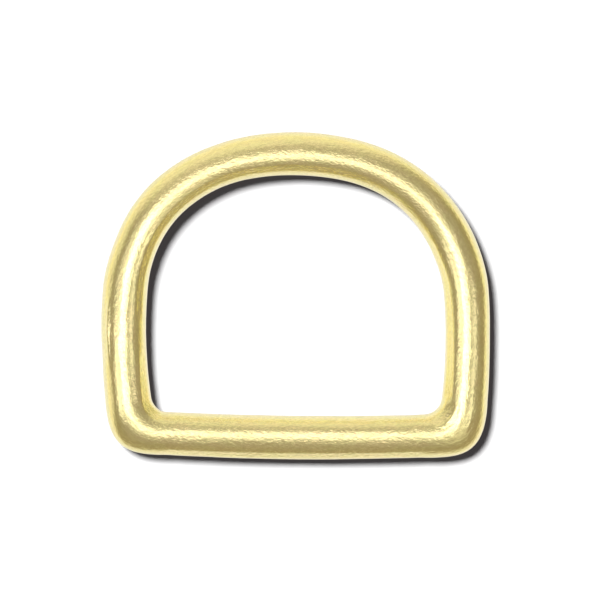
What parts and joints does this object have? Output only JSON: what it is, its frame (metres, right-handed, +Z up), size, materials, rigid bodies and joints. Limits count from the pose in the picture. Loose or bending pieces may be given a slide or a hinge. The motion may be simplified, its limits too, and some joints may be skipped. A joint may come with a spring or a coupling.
{
  "type": "d ring",
  "caption": "Cast brass D-shaped ring with a straight strap bar and an arched loop, joining webbing or a strap to a hook or leash.",
  "frame": {"origin": "under the middle of the ring's outline, on the surface that it lies on", "axes": "+X along the strap bar, +Y from the bar towards the top of the arch, +Z up out of the ring's face"},
  "size_m": [0.0342, 0.0288, 0.0038],
  "materials": {
    "brass": "satin cast brass, tumbled, with fine grain and small casting pits"
  },
  "bodies": {
    "root": {"d_ring": "brass"}
  },
  "joints": []
}
